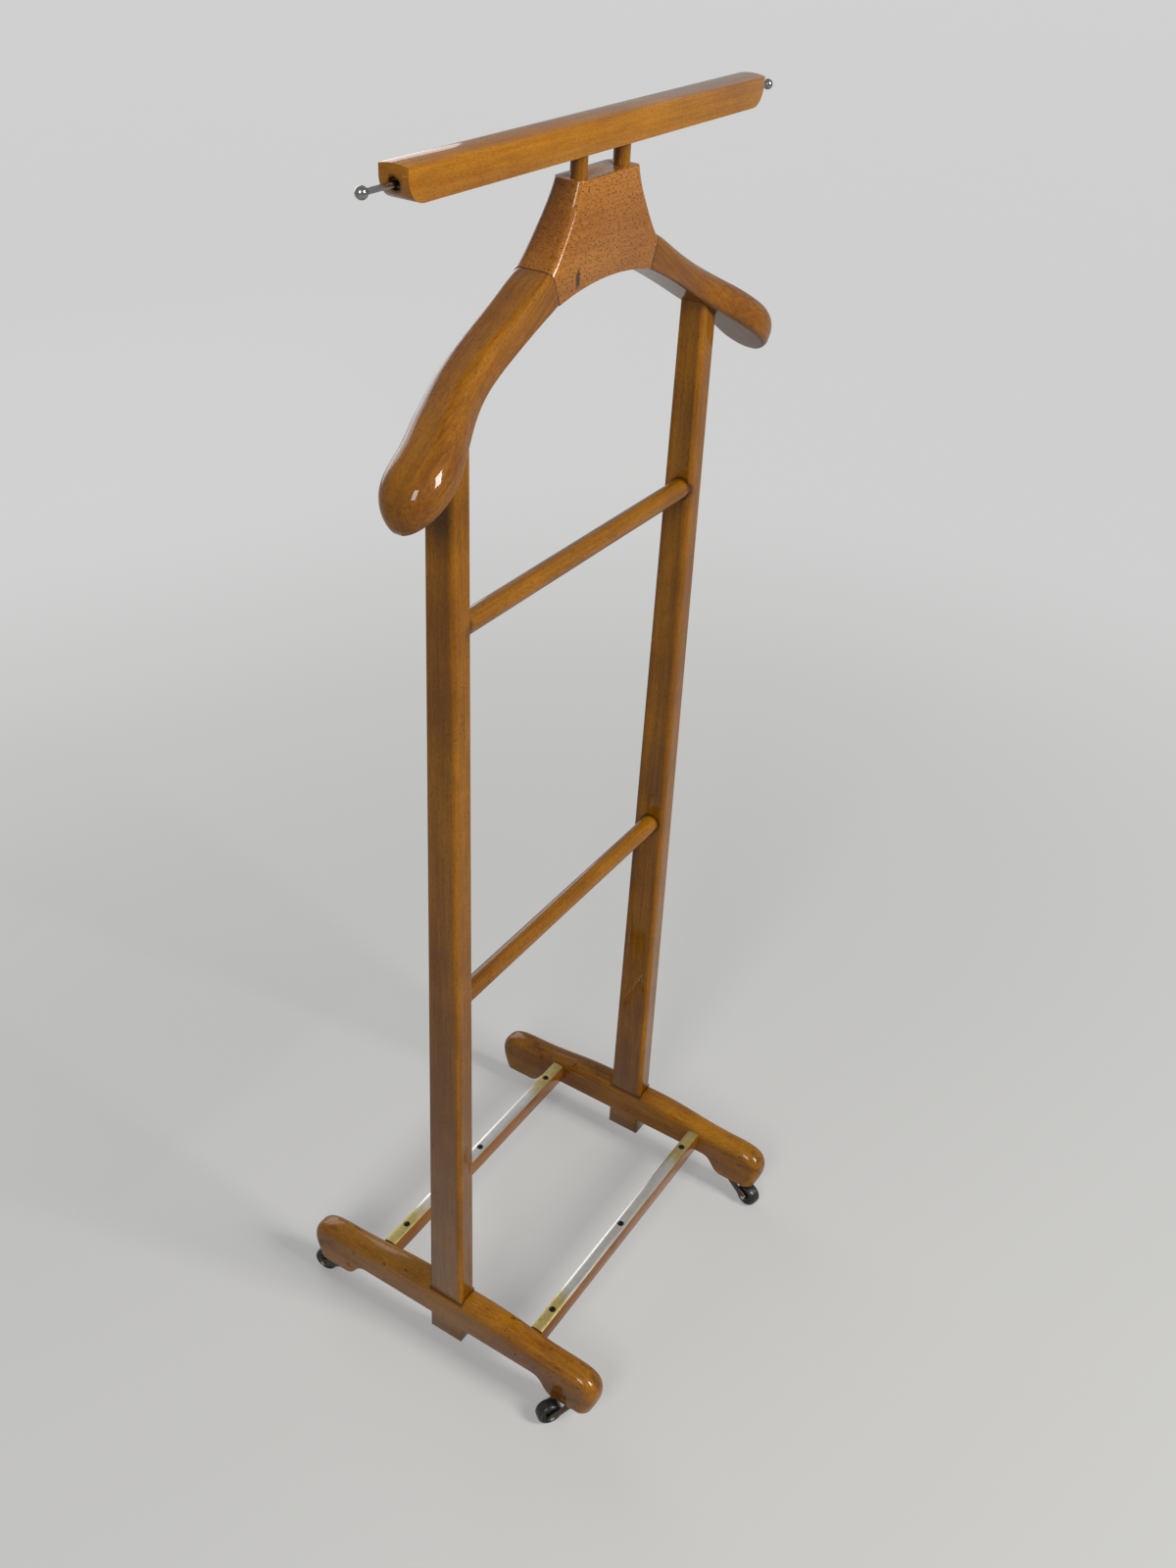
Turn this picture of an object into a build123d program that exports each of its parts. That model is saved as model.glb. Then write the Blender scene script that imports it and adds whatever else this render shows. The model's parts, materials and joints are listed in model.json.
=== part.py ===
from build123d import *
import math
import os

# Valet stand in lacquered beech: two ladder sides on castor feet carry a coat
# hanger, and a trouser bar with two pull-out steel rods stands on top of it.
# Millimetres. Origin on the floor under the middle of the base, +X to the
# wearer's right seen from the front, front towards -Y, +Z up.

# ---- frame -----------------------------------------------------------------
STILE_SPACING = 320.0      # centre to centre of the two stiles
STILE_WIDTH = 21.0         # along X
STILE_FOOT_FRONT = 17.0    # front face ahead of the base centre, at the foot
STILE_FOOT_REAR = 18.5     # rear face behind the base centre, at the foot
STILE_TOP_FRONT = 8.0      # the same two at the top of the stile
STILE_TOP_REAR = 14.0
STILE_FRONT_ROUND = 5.0    # radius of the two front arrises
STILE_REAR_ROUND = 1.5
STILE_TOP_Z = 925.0        # where the stile's inner face meets the hanger
STILE_COPE = 6.0           # length left on at each end, cut to the arm and the foot
TENON_SHOULDER = 0.3       # step all round where the stile enters the foot
TENON_END_Z = 15.0         # lower end of the tenon above the floor
TENON_CHAMFER = 6.5

RUNG_DIAMETER = 16.5
RUNG_HEIGHTS = {"lower": 435.0, "upper": 774.0}
RUNG_DEPTH = 12.0          # how far a rung enters each stile
GLUE_GAP = 0.05            # radial room for glue round every dowel

# ---- feet ------------------------------------------------------------------
FOOT_TOP_Z = 80.0          # top of the foot where the stile stands
FOOT_LENGTH = 328.0
FOOT_WIDTH = 25.0
FOOT_THICKNESS = 36.0      # between the arched underside and the top
FOOT_SHOULDER_Y = 122.0    # where the top starts to roll over the end
FOOT_SHOULDER_DROP = 8.0
FOOT_NOSE_DROP = 30.0      # height of the foremost point below the top
PAD_LENGTH = 34.0          # flat under each end, which takes the castor
PAD_END_INSET = 6.0        # from the foot's end to the pad's end
ARCH_RUN = 27.0            # length of the curve from the pad to the underside
FOOT_TOP_ROUND = 10.0
SEAT_MARGIN = 9.0          # flat top past the stile, front and rear

# ---- rails -----------------------------------------------------------------
RAIL_Y = 86.0              # centre of each rail ahead of and behind the base
RAIL_WIDTH = 12.0
RAIL_HEIGHT = 18.0
RAIL_TOP_DROP = 12.0       # top of the wood below the top of the foot
RAIL_TENON = 7.0           # length of the stub in each foot
RAIL_TENON_SHOULDER = 2.0
COVER_WIDTH = 11.4
COVER_EDGE = 0.9           # thickness of the strip at its two long edges
COVER_CROWN = 0.9          # how much higher it is along the middle
COVER_END_GAP = 0.6        # from the strip's end to the foot
SCREW_PITCH = 121.4
SCREW_HEAD = 6.4           # diameter of the oval head
SCREW_HEAD_DEPTH = 2.0     # cone under the head
SCREW_HEAD_RISE = 0.8
SCREW_SHANK = 3.0
SCREW_LENGTH = 13.0
SCREW_SLOT = 0.9
SCREW_TURN = 35.0          # degrees between one slot and the next

# ---- hanger ----------------------------------------------------------------
HEAD_Y = 2.0               # centre of bar and rods behind the base centre
PEG_Y = 0.0
HANGER_FRONT_Y = -10.0     # flat front face of the block
BLOCK_TOP_DEPTH = 25.0
BLOCK_JOINT_DEPTH = 32.0   # depth at the glue lines and below
BLOCK_TOP_Z = 1044.5
BLOCK_TOP_HALF = 36.5
BLOCK_WAIST = (49.0, 1018.0)       # a point that the flared side passes
JOINT_UPPER = (66.5, 993.5)        # ends of the glue line with the arm
JOINT_LOWER = (57.5, 971.6)
ARCH_TOP_Z = 978.5         # underside of the block, on the centre line
BLOCK_FRONT_ROUND = 5.0    # front and rear arrises of the flared sides
BLOCK_REAR_ROUND = 8.0

ARM_REACH = 229.0          # end of each arm from the centre line
ARM_BULB_X = 203.0         # where the end starts to close
ARM_SLOPE_GAIN = 0.0019    # how much steeper it gets per mm
ARM_FRONT_SWEEP = 24.0     # how far the front face comes forward at the bulb
ARM_REAR_SWEEP = 11.0       # and the rear face
ARM_STRAIGHT = 45.0        # from the glue line to where the arm starts to swell
ARM_WAIST = 2.7            # thinning along that length
ARM_SWELL = 5.5            # thickening from there to the bulb
BULB_FRONT_ROUND = 15.5    # crest radii at the bulb
BULB_REAR_ROUND = 17.5
ARM_BODY_STEPS = 8         # sections from the glue line to the bulb
ARM_END_ANGLES = (26, 48, 66, 80)
ARM_LOWER_ROUND = 2.0      # lower arrises at the glue line
ARM_LOWER_SOFTENING = 4.0  # and what is added to them further out
ARM_DOWEL_DIAMETER = 6.0   # two across each glue line
ARM_DOWEL_LENGTH = 26.0
ARM_DOWEL_PITCH = 12.0
STILE_DOWEL_DIAMETER = 8.0
STILE_DOWEL_LENGTH = 30.0
STILE_DOWEL_UP = 10.0      # how much of it is in the arm

# ---- bar -------------------------------------------------------------------
BAR_LENGTH = 418.0
BAR_DEPTH = 21.0
BAR_HEIGHT = 20.0          # of the flat front face
BAR_CROWN = 1.2            # rise of the top between front and rear
BAR_BOTTOM_Z = 1059.0
BAR_END_ROUND = 14.0
PEG_DIAMETER = 11.5
PEG_SPACING = 52.0
PEG_DEPTH = 11.0           # how far a peg enters the block and the bar

# ---- rods ------------------------------------------------------------------
ROD_DIAMETER = 3.6
ROD_LENGTH = 118.0         # from the centre of the ball to the inner end
ROD_OUT = 27.0             # ball centre past the bar's end, as left standing
ROD_BALL = 7.6
ROD_BALL_GRIP = 2.2        # depth of the rod's end in the ball
ROD_BORE = 8.0
ROD_BORE_DEPTH = 120.0
ROD_Z = 1069.3
BUSH_LENGTH = 8.0
BUSH_INSET = 6.0           # from the bar's end to the bush
COLLAR_DIAMETER = 7.0      # stop at the inner end of the rod
COLLAR_LENGTH = 6.0
SLIDE_GAP = 0.08           # radial running clearance

# ---- castors ---------------------------------------------------------------
CASTOR_Y = 134.0           # pivot ahead of and behind the base centre
CASTOR_TRAIL = 21.0        # from the pivot to the axle
WHEEL_DIAMETER = 24.0
WHEEL_WIDTH = 12.0
WHEEL_TREAD_ROUND = 3.0
WHEEL_RECESS = 1.2         # dish in each side of the wheel
WHEEL_RIM = 3.2
HUB_DIAMETER = 7.0
AXLE_DIAMETER = 2.6
AXLE_HEAD = 4.4
AXLE_HEAD_THICKNESS = 1.0
FORK_STRAP = 1.5           # thickness of the bent strap
FORK_SIDE_GAP = 1.1        # between the wheel and an arm
FORK_PLATE_LENGTH = 13.0
FORK_ARM_END = 4.0         # radius of the arm's end round the axle
FORK_END_TURN = 6.0        # how far the arm's end leans, in degrees
PIVOT_GAP = 0.3            # from the socket's flange to the plate
SOCKET_DIAMETER = 8.5
SOCKET_LENGTH = 20.0
SOCKET_FLANGE = 14.0
SOCKET_FLANGE_THICKNESS = 1.0
STEM_DIAMETER = 5.0
STEM_LENGTH = 17.0         # of the pin inside the socket
STEM_HEAD = 7.5
STEM_HEAD_THICKNESS = 1.2
CASTOR_ANGLES = {          # trailing direction of each wheel, from +X
    ("left", "front"): 145.0,
    ("right", "front"): -105.0,
    ("left", "rear"): 95.0,
    ("right", "rear"): 20.0,
}

SIDES = {"left": -1, "right": 1}
ENDS = {"front": -1, "rear": 1}
STILE_X = STILE_SPACING / 2
PAD_Z = WHEEL_DIAMETER + 2.0                       # underside of each foot end
UNDERSIDE_Z = FOOT_TOP_Z - FOOT_THICKNESS
FOOT_INNER_X = STILE_X - FOOT_WIDTH / 2
RAIL_TOP_Z = FOOT_TOP_Z - RAIL_TOP_DROP

UPWARD = (Align.CENTER, Align.CENTER, Align.MIN)

os.makedirs("parts", exist_ok=True)


def save(shape, node):
    """Write one node's STEP file."""
    export_step(shape, f"parts/{node}.step")


def rod_between(start, end, diameter):
    """A round bar from one point to another."""
    line = Vector(*end) - Vector(*start)
    plane = Plane(origin=start, z_dir=line)
    return plane * Cylinder(diameter / 2, line.length, align=UPWARD)


# ---- hanger ----------------------------------------------------------------
def mirrored(shape, side):
    """The right-hand shape itself, or its mirror image for the left."""
    return shape if side > 0 else mirror(shape, about=Plane.YZ)


def hanger_block():
    """Centre of the hanger: flat faces, flared sides and an arched underside."""
    right_side = Spline(
        (BLOCK_TOP_HALF, BLOCK_TOP_Z), BLOCK_WAIST, JOINT_UPPER,
        tangents=((0.25, -1), (0.75, -0.8)),
    )
    left_side = mirror(right_side, about=Plane.YZ)
    edges = [
        right_side,
        Line(JOINT_UPPER, JOINT_LOWER),
        ThreePointArc(JOINT_LOWER, (0, ARCH_TOP_Z), (-JOINT_LOWER[0], JOINT_LOWER[1])),
        Line((-JOINT_LOWER[0], JOINT_LOWER[1]), (-JOINT_UPPER[0], JOINT_UPPER[1])),
        left_side,
        Line((-BLOCK_TOP_HALF, BLOCK_TOP_Z), (BLOCK_TOP_HALF, BLOCK_TOP_Z)),
    ]
    outline = make_face(edges)
    front = Plane(origin=(0, HANGER_FRONT_Y, 0), x_dir=(1, 0, 0), z_dir=(0, -1, 0))
    block = extrude(front * outline, -BLOCK_JOINT_DEPTH)
    top_rear = HANGER_FRONT_Y + BLOCK_TOP_DEPTH
    low_rear = HANGER_FRONT_Y + BLOCK_JOINT_DEPTH
    raked_back = make_face(Polyline(
        (low_rear, JOINT_UPPER[1] + 1), (top_rear, BLOCK_TOP_Z),
        (low_rear + 1, BLOCK_TOP_Z + 1), (low_rear + 1, JOINT_UPPER[1] + 1), close=True,
    ))
    block -= extrude(Plane.YZ * raked_back, BLOCK_TOP_HALF * 3, both=True)
    flanks = [e for e in block.edges() if on_flank(e)]
    block = fillet([e for e in flanks if (e @ 0.5).Y < 0], BLOCK_FRONT_ROUND)
    flanks = [e for e in block.edges() if on_flank(e) and (e @ 0.5).Y > top_rear - 2]
    return fillet(flanks, BLOCK_REAR_ROUND)


def on_flank(edge):
    """Whether an edge runs down one of the block's flared sides."""
    middle = edge @ 0.5
    drop = abs((edge @ 0).Z - (edge @ 1).Z)
    return drop > 20 and abs(middle.X) > BLOCK_TOP_HALF and middle.Z > JOINT_UPPER[1] + 5


def ease(x, start, end):
    """Smooth step from 0 at start to 1 at end."""
    t = min(max((x - start) / (end - start), 0.0), 1.0)
    return t * t * (3 - 2 * t)


def arm_section(x, shrink):
    """Cross-section of an arm: flat underside, upper edges rolled over."""
    joint_x, joint_z = JOINT_LOWER
    out = x - joint_x
    tilt, joint_length = joint_frame()
    fall = math.tan(tilt) + ARM_SLOPE_GAIN * out
    z = joint_z - math.tan(tilt) * out - ARM_SLOPE_GAIN * out**2 / 2
    early = ease(x, joint_x, ARM_BULB_X)
    late = ease(x, joint_x + ARM_STRAIGHT, ARM_BULB_X)
    front = HANGER_FRONT_Y - ARM_FRONT_SWEEP * late**2
    rear = HANGER_FRONT_Y + BLOCK_JOINT_DEPTH - ARM_REAR_SWEEP * late**2
    thickness = joint_length - ARM_WAIST * ease(x, joint_x, joint_x + ARM_STRAIGHT) + ARM_SWELL * late
    front_round = BLOCK_FRONT_ROUND + (BULB_FRONT_ROUND - BLOCK_FRONT_ROUND) * early
    rear_round = BLOCK_REAR_ROUND + (BULB_REAR_ROUND - BLOCK_REAR_ROUND) * late
    middle = (front + rear) / 2
    half = (rear - front) / 2 * shrink
    front, rear, thickness = middle - half, middle + half, thickness * shrink
    low = (ARM_LOWER_ROUND + ARM_LOWER_SOFTENING * early) * shrink
    rf = front_round * shrink
    rr = rear_round * shrink
    k = 1 - math.sqrt(0.5)
    face = make_face([
        Line((front + low, 0), (rear - low, 0)),
        ThreePointArc((rear - low, 0), (rear - low * k, low * k), (rear, low)),
        Line((rear, low), (rear, thickness - rr)),
        ThreePointArc(
            (rear, thickness - rr), (rear - rr * k, thickness - rr * k), (rear - rr, thickness)
        ),
        Line((rear - rr, thickness), (front + rf, thickness)),
        ThreePointArc(
            (front + rf, thickness), (front + rf * k, thickness - rf * k), (front, thickness - rf)
        ),
        Line((front, thickness - rf), (front, low)),
        ThreePointArc((front, low), (front + low * k, low * k), (front + low, 0)),
    ])
    angle = math.atan(fall)
    normal = (math.cos(angle), 0, -math.sin(angle))
    return Plane(origin=(x, 0, z), x_dir=(0, 1, 0), z_dir=normal) * face


def joint_frame():
    """Tilt of the glue line from upright, in radians, and its length."""
    dx = JOINT_UPPER[0] - JOINT_LOWER[0]
    dz = JOINT_UPPER[1] - JOINT_LOWER[1]
    return math.atan2(dx, dz), math.hypot(dx, dz)


def hanger_arm():
    """The right arm, lofted from the glue line to the rounded end."""
    start = JOINT_LOWER[0]
    step = (ARM_BULB_X - start) / ARM_BODY_STEPS
    sections = [arm_section(start + step * i, 1.0) for i in range(ARM_BODY_STEPS + 1)]
    for degrees in ARM_END_ANGLES:
        turn = math.radians(degrees)
        x = ARM_BULB_X + (ARM_REACH - ARM_BULB_X) * math.sin(turn)
        sections.append(arm_section(x, math.cos(turn)))
    return loft(sections)


def arm_dowels():
    """Two dowels across the right glue line, at half its height."""
    angle = joint_frame()[0]
    middle_x = (JOINT_UPPER[0] + JOINT_LOWER[0]) / 2
    middle_z = (JOINT_UPPER[1] + JOINT_LOWER[1]) / 2
    reach = ARM_DOWEL_LENGTH / 2
    dowels = []
    for step in (-0.5, 0.5):
        y = HANGER_FRONT_Y + BLOCK_JOINT_DEPTH / 2 + step * ARM_DOWEL_PITCH
        start = (middle_x - reach * math.cos(angle), y, middle_z + reach * math.sin(angle))
        end = (middle_x + reach * math.cos(angle), y, middle_z - reach * math.sin(angle))
        dowels.append((start, end))
    return dowels


def stile_dowel(extra=0.0):
    """Dowel that ties the right arm down to its stile."""
    y = (STILE_TOP_REAR - STILE_TOP_FRONT) / 2
    top = STILE_TOP_Z + STILE_DOWEL_UP
    bottom = top - STILE_DOWEL_LENGTH
    return rod_between((STILE_X, y, bottom), (STILE_X, y, top), STILE_DOWEL_DIAMETER + extra)


# ---- ladder sides ----------------------------------------------------------
def stile_depth(z):
    """Front and rear of the tapered stile at a height."""
    rise = (z - FOOT_TOP_Z) / (STILE_TOP_Z - FOOT_TOP_Z)
    front = STILE_FOOT_FRONT + (STILE_TOP_FRONT - STILE_FOOT_FRONT) * rise
    rear = STILE_FOOT_REAR + (STILE_TOP_REAR - STILE_FOOT_REAR) * rise
    return -front, rear


def stile_blank(bottom_z, top_z):
    """Tapered stile with its front arrises well rounded."""
    front_foot, rear_foot = stile_depth(bottom_z)
    front_top, rear_top = stile_depth(top_z)
    outline = Polyline(
        (front_foot, bottom_z), (rear_foot, bottom_z), (rear_top, top_z), (front_top, top_z), close=True
    )
    face = Plane.YZ * make_face(outline)
    stile = extrude(face, STILE_WIDTH / 2, both=True)
    long = (top_z - bottom_z) * 0.9
    front = [e for e in stile.edges() if e.length > long and (e @ 0.5).Y < 0]
    stile = fillet(front, STILE_FRONT_ROUND)
    rear = [e for e in stile.edges() if e.length > long and (e @ 0.5).Y > STILE_TOP_REAR]
    return fillet(rear, STILE_REAR_ROUND)


def tenon_blank(length_down):
    """Straight tenon below the stile's shoulder."""
    front = -STILE_FOOT_FRONT + TENON_SHOULDER
    rear = STILE_FOOT_REAR - TENON_SHOULDER
    width = STILE_WIDTH - 2 * TENON_SHOULDER
    tenon = Box(width, rear - front, length_down, align=(Align.CENTER, Align.MIN, Align.MAX))
    return Pos(0, front, FOOT_TOP_Z) * tenon


def stile(side, arm):
    """Stile coped to foot and arm, with rung sockets, dowel hole and through tenon."""
    blank = stile_blank(FOOT_TOP_Z - STILE_COPE, STILE_TOP_Z + STILE_COPE)
    blank = (blank - foot_blank()).solids().sort_by(SortBy.VOLUME)[-1]
    tenon = tenon_blank(FOOT_TOP_Z - TENON_END_Z)
    end = tenon.faces().sort_by(Axis.Z)[0]
    tenon = chamfer(end.edges(), TENON_CHAMFER)
    shape = Pos(side * STILE_X, 0, 0) * (blank + tenon)
    shape = (shape - arm).solids().sort_by(SortBy.VOLUME)[-1]
    inner_x = side * (STILE_X - STILE_WIDTH / 2)
    for z in RUNG_HEIGHTS.values():
        shape -= rod_between(
            (inner_x - side, 0, z), (inner_x + side * RUNG_DEPTH, 0, z), RUNG_DIAMETER + 2 * GLUE_GAP
        )
    return shape - mirrored(stile_dowel(2 * GLUE_GAP), side)


def rung(z):
    """Turned dowel between the stiles."""
    end = STILE_X - STILE_WIDTH / 2 + RUNG_DEPTH - GLUE_GAP
    return rod_between((-end, 0, z), (end, 0, z), RUNG_DIAMETER)


# ---- feet ------------------------------------------------------------------
def foot_outline():
    """Side view of a foot: rolled ends on flat pads, raised middle."""
    half = FOOT_LENGTH / 2
    nose_z = FOOT_TOP_Z - FOOT_NOSE_DROP
    shoulder_z = FOOT_TOP_Z - FOOT_SHOULDER_DROP
    pad_end = half - PAD_END_INSET
    pad_start = pad_end - PAD_LENGTH
    arch_end = pad_start - ARCH_RUN
    seat = STILE_FOOT_REAR + SEAT_MARGIN
    top = Spline((seat, FOOT_TOP_Z), (FOOT_SHOULDER_Y, shoulder_z), (half, nose_z),
                 tangents=((1, 0), (0, -1)))
    heel = Spline((half, nose_z), (pad_end, PAD_Z), tangents=((0, -1), (-0.3, -1)))
    pad = Line((pad_end, PAD_Z), (pad_start, PAD_Z))
    arch = Spline((pad_start, PAD_Z), (arch_end, UNDERSIDE_Z), tangents=((-1, 0), (-1, 0)))
    edges = [top, heel, pad, arch]
    edges += [mirror(e, about=Plane.YZ) for e in edges]
    edges.append(Line((-seat, FOOT_TOP_Z), (seat, FOOT_TOP_Z)))
    edges.append(Line((-arch_end, UNDERSIDE_Z), (arch_end, UNDERSIDE_Z)))
    return make_face(edges)


def foot_blank():
    """Foot with its top rolled over, before any mortise is cut."""
    blank = extrude(Plane.YZ * foot_outline(), FOOT_WIDTH / 2, both=True)
    top_edges = []
    for x in (-FOOT_WIDTH / 2, FOOT_WIDTH / 2):
        for edge in blank.edges().filter_by_position(Axis.X, x - 0.1, x + 0.1):
            if (edge @ 0.5).Z > FOOT_TOP_Z - FOOT_SHOULDER_DROP * 3:
                top_edges.append(edge)
    return fillet(top_edges, FOOT_TOP_ROUND)


def foot(side):
    """Foot with the stile's mortise, two rail mortises and two castor bores."""
    shape = Pos(side * STILE_X, 0, 0) * (foot_blank() - tenon_blank(FOOT_THICKNESS * 2))
    for end in ENDS.values():
        shape -= rail_stub(side, end)
        bore = Cylinder(SOCKET_DIAMETER / 2 + GLUE_GAP, SOCKET_LENGTH, align=UPWARD)
        shape -= Pos(side * STILE_X, end * CASTOR_Y, PAD_Z) * bore
    return shape


# ---- rails -----------------------------------------------------------------
def rail_stub(side, end):
    """Stub tenon at one end of a rail, which is also the foot's mortise."""
    width = RAIL_WIDTH - 2 * RAIL_TENON_SHOULDER
    height = RAIL_HEIGHT - 2 * RAIL_TENON_SHOULDER
    stub = Box(RAIL_TENON, width, height)
    x = side * (FOOT_INNER_X + RAIL_TENON / 2)
    return Pos(x, end * RAIL_Y, RAIL_TOP_Z - RAIL_HEIGHT / 2) * stub


def rail(end):
    """Wooden rail between the feet, with pilot holes for the cover's screws."""
    bar = Box(2 * FOOT_INNER_X, RAIL_WIDTH, RAIL_HEIGHT)
    bar = Pos(0, end * RAIL_Y, RAIL_TOP_Z - RAIL_HEIGHT / 2) * bar
    for side in SIDES.values():
        bar += rail_stub(side, end)
    for screw in screw_bodies(end, with_slot=False):
        bar -= screw
    return bar


def rail_cover(end):
    """Crowned metal strip along the top of a rail."""
    half = COVER_WIDTH / 2
    outline = [
        Line((-half, 0), (half, 0)),
        Line((half, 0), (half, COVER_EDGE)),
        ThreePointArc((half, COVER_EDGE), (0, COVER_EDGE + COVER_CROWN), (-half, COVER_EDGE)),
        Line((-half, COVER_EDGE), (-half, 0)),
    ]
    length = FOOT_INNER_X - COVER_END_GAP
    strip = extrude(Plane.YZ * make_face(outline), length, both=True)
    strip = Pos(0, end * RAIL_Y, RAIL_TOP_Z) * strip
    for screw in screw_bodies(end, with_slot=False):
        strip -= screw
    return strip


def screw_bodies(end, with_slot):
    """Three countersunk screws of one rail cover."""
    head_z = COVER_EDGE + COVER_CROWN
    profile = Polyline(
        (0, head_z - SCREW_LENGTH), (SCREW_SHANK / 2, head_z - SCREW_LENGTH + SCREW_SHANK / 2),
        (SCREW_SHANK / 2, head_z - SCREW_HEAD_DEPTH), (SCREW_HEAD / 2, head_z),
    )
    crown_z = head_z + SCREW_HEAD_RISE
    shoulder = (SCREW_HEAD / 4, head_z + SCREW_HEAD_RISE * 0.75)
    dome = ThreePointArc((SCREW_HEAD / 2, head_z), shoulder, (0, crown_z))
    axis_line = Line((0, crown_z), (0, head_z - SCREW_LENGTH))
    face = make_face([profile, dome, axis_line])
    screw = revolve(Plane.XZ * face, Axis.Z)
    slot = Box(SCREW_HEAD * 1.2, SCREW_SLOT, SCREW_HEAD_RISE * 2)
    bodies = []
    for place in (-1, 0, 1):
        body = screw
        if with_slot:
            body = screw - Pos(0, 0, crown_z) * Rot(0, 0, SCREW_TURN * (place + end)) * slot
        bodies.append(Pos(place * SCREW_PITCH, end * RAIL_Y, RAIL_TOP_Z) * body)
    return bodies


# ---- bar, pegs and rods ----------------------------------------------------
def peg_places():
    """Lower and upper end of the two pegs."""
    low = BLOCK_TOP_Z - PEG_DEPTH
    high = BAR_BOTTOM_Z + PEG_DEPTH
    places = {}
    for name, side in SIDES.items():
        x = side * PEG_SPACING / 2
        places[name] = ((x, PEG_Y, low), (x, PEG_Y, high))
    return places


def top_bar():
    """Trouser bar: flat front and rear, crowned top, rounded lower corners."""
    half = BAR_LENGTH / 2
    top = BAR_HEIGHT + BAR_CROWN
    outline = make_face(Polyline((-half, 0), (half, 0), (half, top), (-half, top), close=True))
    corners = [v for v in outline.vertices() if v.Y < 1]
    outline = fillet(corners, BAR_END_ROUND)
    front = Plane(origin=(0, BAR_DEPTH / 2, 0), x_dir=(1, 0, 0), z_dir=(0, -1, 0))
    side_view = extrude(front * outline, BAR_DEPTH)
    d = BAR_DEPTH / 2
    section = make_face([
        Line((-d, 0), (d, 0)),
        Line((d, 0), (d, BAR_HEIGHT)),
        ThreePointArc((d, BAR_HEIGHT), (0, top), (-d, BAR_HEIGHT)),
        Line((-d, BAR_HEIGHT), (-d, 0)),
    ])
    bar = side_view & extrude(Plane.YZ * section, half, both=True)
    bar = Pos(0, HEAD_Y, BAR_BOTTOM_Z) * bar
    for start, end in peg_places().values():
        bar -= rod_between(start, end, PEG_DIAMETER + 2 * GLUE_GAP)
    for side in SIDES.values():
        mouth = (side * half, HEAD_Y, ROD_Z)
        blind_end = (side * (half - ROD_BORE_DEPTH), HEAD_Y, ROD_Z)
        bar -= rod_between(mouth, blind_end, ROD_BORE)
    return bar


def on_rod(side, inward=0.0):
    """A point of the rod's centre line, measured in from the centre of the ball."""
    return (side * (BAR_LENGTH / 2 + ROD_OUT - inward), HEAD_Y, ROD_Z)


def rod(side):
    """Steel rod with the stop collar at its inner end."""
    outer_end = on_rod(side, ROD_BALL / 2 - ROD_BALL_GRIP)
    inner_end = on_rod(side, ROD_LENGTH)
    shaft = rod_between(outer_end, inner_end, ROD_DIAMETER)
    return shaft + rod_between(on_rod(side, ROD_LENGTH - COLLAR_LENGTH), inner_end, COLLAR_DIAMETER)


def rod_ball():
    """Ball pressed on the right rod's outer end."""
    ball = Pos(*on_rod(1)) * Sphere(ROD_BALL / 2)
    blind_end = on_rod(1, ROD_BALL / 2 - ROD_BALL_GRIP)
    return ball - rod_between(blind_end, on_rod(1, ROD_BALL), ROD_DIAMETER)


def rod_bush(side):
    """Brass bush that guides the rod inside the bar."""
    outer = BAR_LENGTH / 2 - BUSH_INSET
    start = (side * outer, HEAD_Y, ROD_Z)
    end = (side * (outer - BUSH_LENGTH), HEAD_Y, ROD_Z)
    return rod_between(start, end, ROD_BORE) - rod_between(start, end, ROD_DIAMETER + 2 * SLIDE_GAP)


# ---- castors ---------------------------------------------------------------
FLANGE_Z = PAD_Z - SOCKET_FLANGE_THICKNESS
PLATE_TOP_Z = FLANGE_Z - PIVOT_GAP
AXLE_Z = WHEEL_DIAMETER / 2
FORK_INNER = WHEEL_WIDTH / 2 + FORK_SIDE_GAP
FORK_OUTER = FORK_INNER + FORK_STRAP


def castor_socket():
    """Steel sleeve with a flange, driven into the pad."""
    sleeve = Pos(0, 0, PAD_Z) * Cylinder(SOCKET_DIAMETER / 2, SOCKET_LENGTH - GLUE_GAP, align=UPWARD)
    flange = Pos(0, 0, FLANGE_Z) * Cylinder(SOCKET_FLANGE / 2, SOCKET_FLANGE_THICKNESS, align=UPWARD)
    hole = Cylinder(STEM_DIAMETER / 2 + SLIDE_GAP, STEM_LENGTH + 2, align=UPWARD)
    return sleeve + flange - Pos(0, 0, FLANGE_Z) * hole


def castor_stem():
    """Pin that turns in the socket, headed under the fork's plate."""
    plate_bottom = PLATE_TOP_Z - FORK_STRAP
    pin_length = FLANGE_Z + STEM_LENGTH - plate_bottom
    pin = Pos(0, 0, plate_bottom) * Cylinder(STEM_DIAMETER / 2, pin_length, align=UPWARD)
    head = Cylinder(STEM_HEAD / 2, STEM_HEAD_THICKNESS, align=UPWARD)
    return pin + Pos(0, 0, plate_bottom - STEM_HEAD_THICKNESS) * head


def fork_arm_outline():
    """One arm of the fork seen from the side: it narrows towards the axle."""
    half = FORK_PLATE_LENGTH / 2
    low = (-half, PLATE_TOP_Z - FORK_STRAP)
    high = (half, PLATE_TOP_Z)
    fall = math.degrees(math.atan2(PLATE_TOP_Z - AXLE_Z, CASTOR_TRAIL))
    around = []
    for turn in (90, 0, -90):
        angle = math.radians(turn - fall + FORK_END_TURN)
        x = CASTOR_TRAIL + FORK_ARM_END * math.cos(angle)
        around.append((x, AXLE_Z + FORK_ARM_END * math.sin(angle)))
    upper, far, lower = around
    return make_face([
        Line((-half, PLATE_TOP_Z), high),
        Line(high, upper),
        ThreePointArc(upper, far, lower),
        Line(lower, low),
        Line(low, (-half, PLATE_TOP_Z)),
    ])


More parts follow.
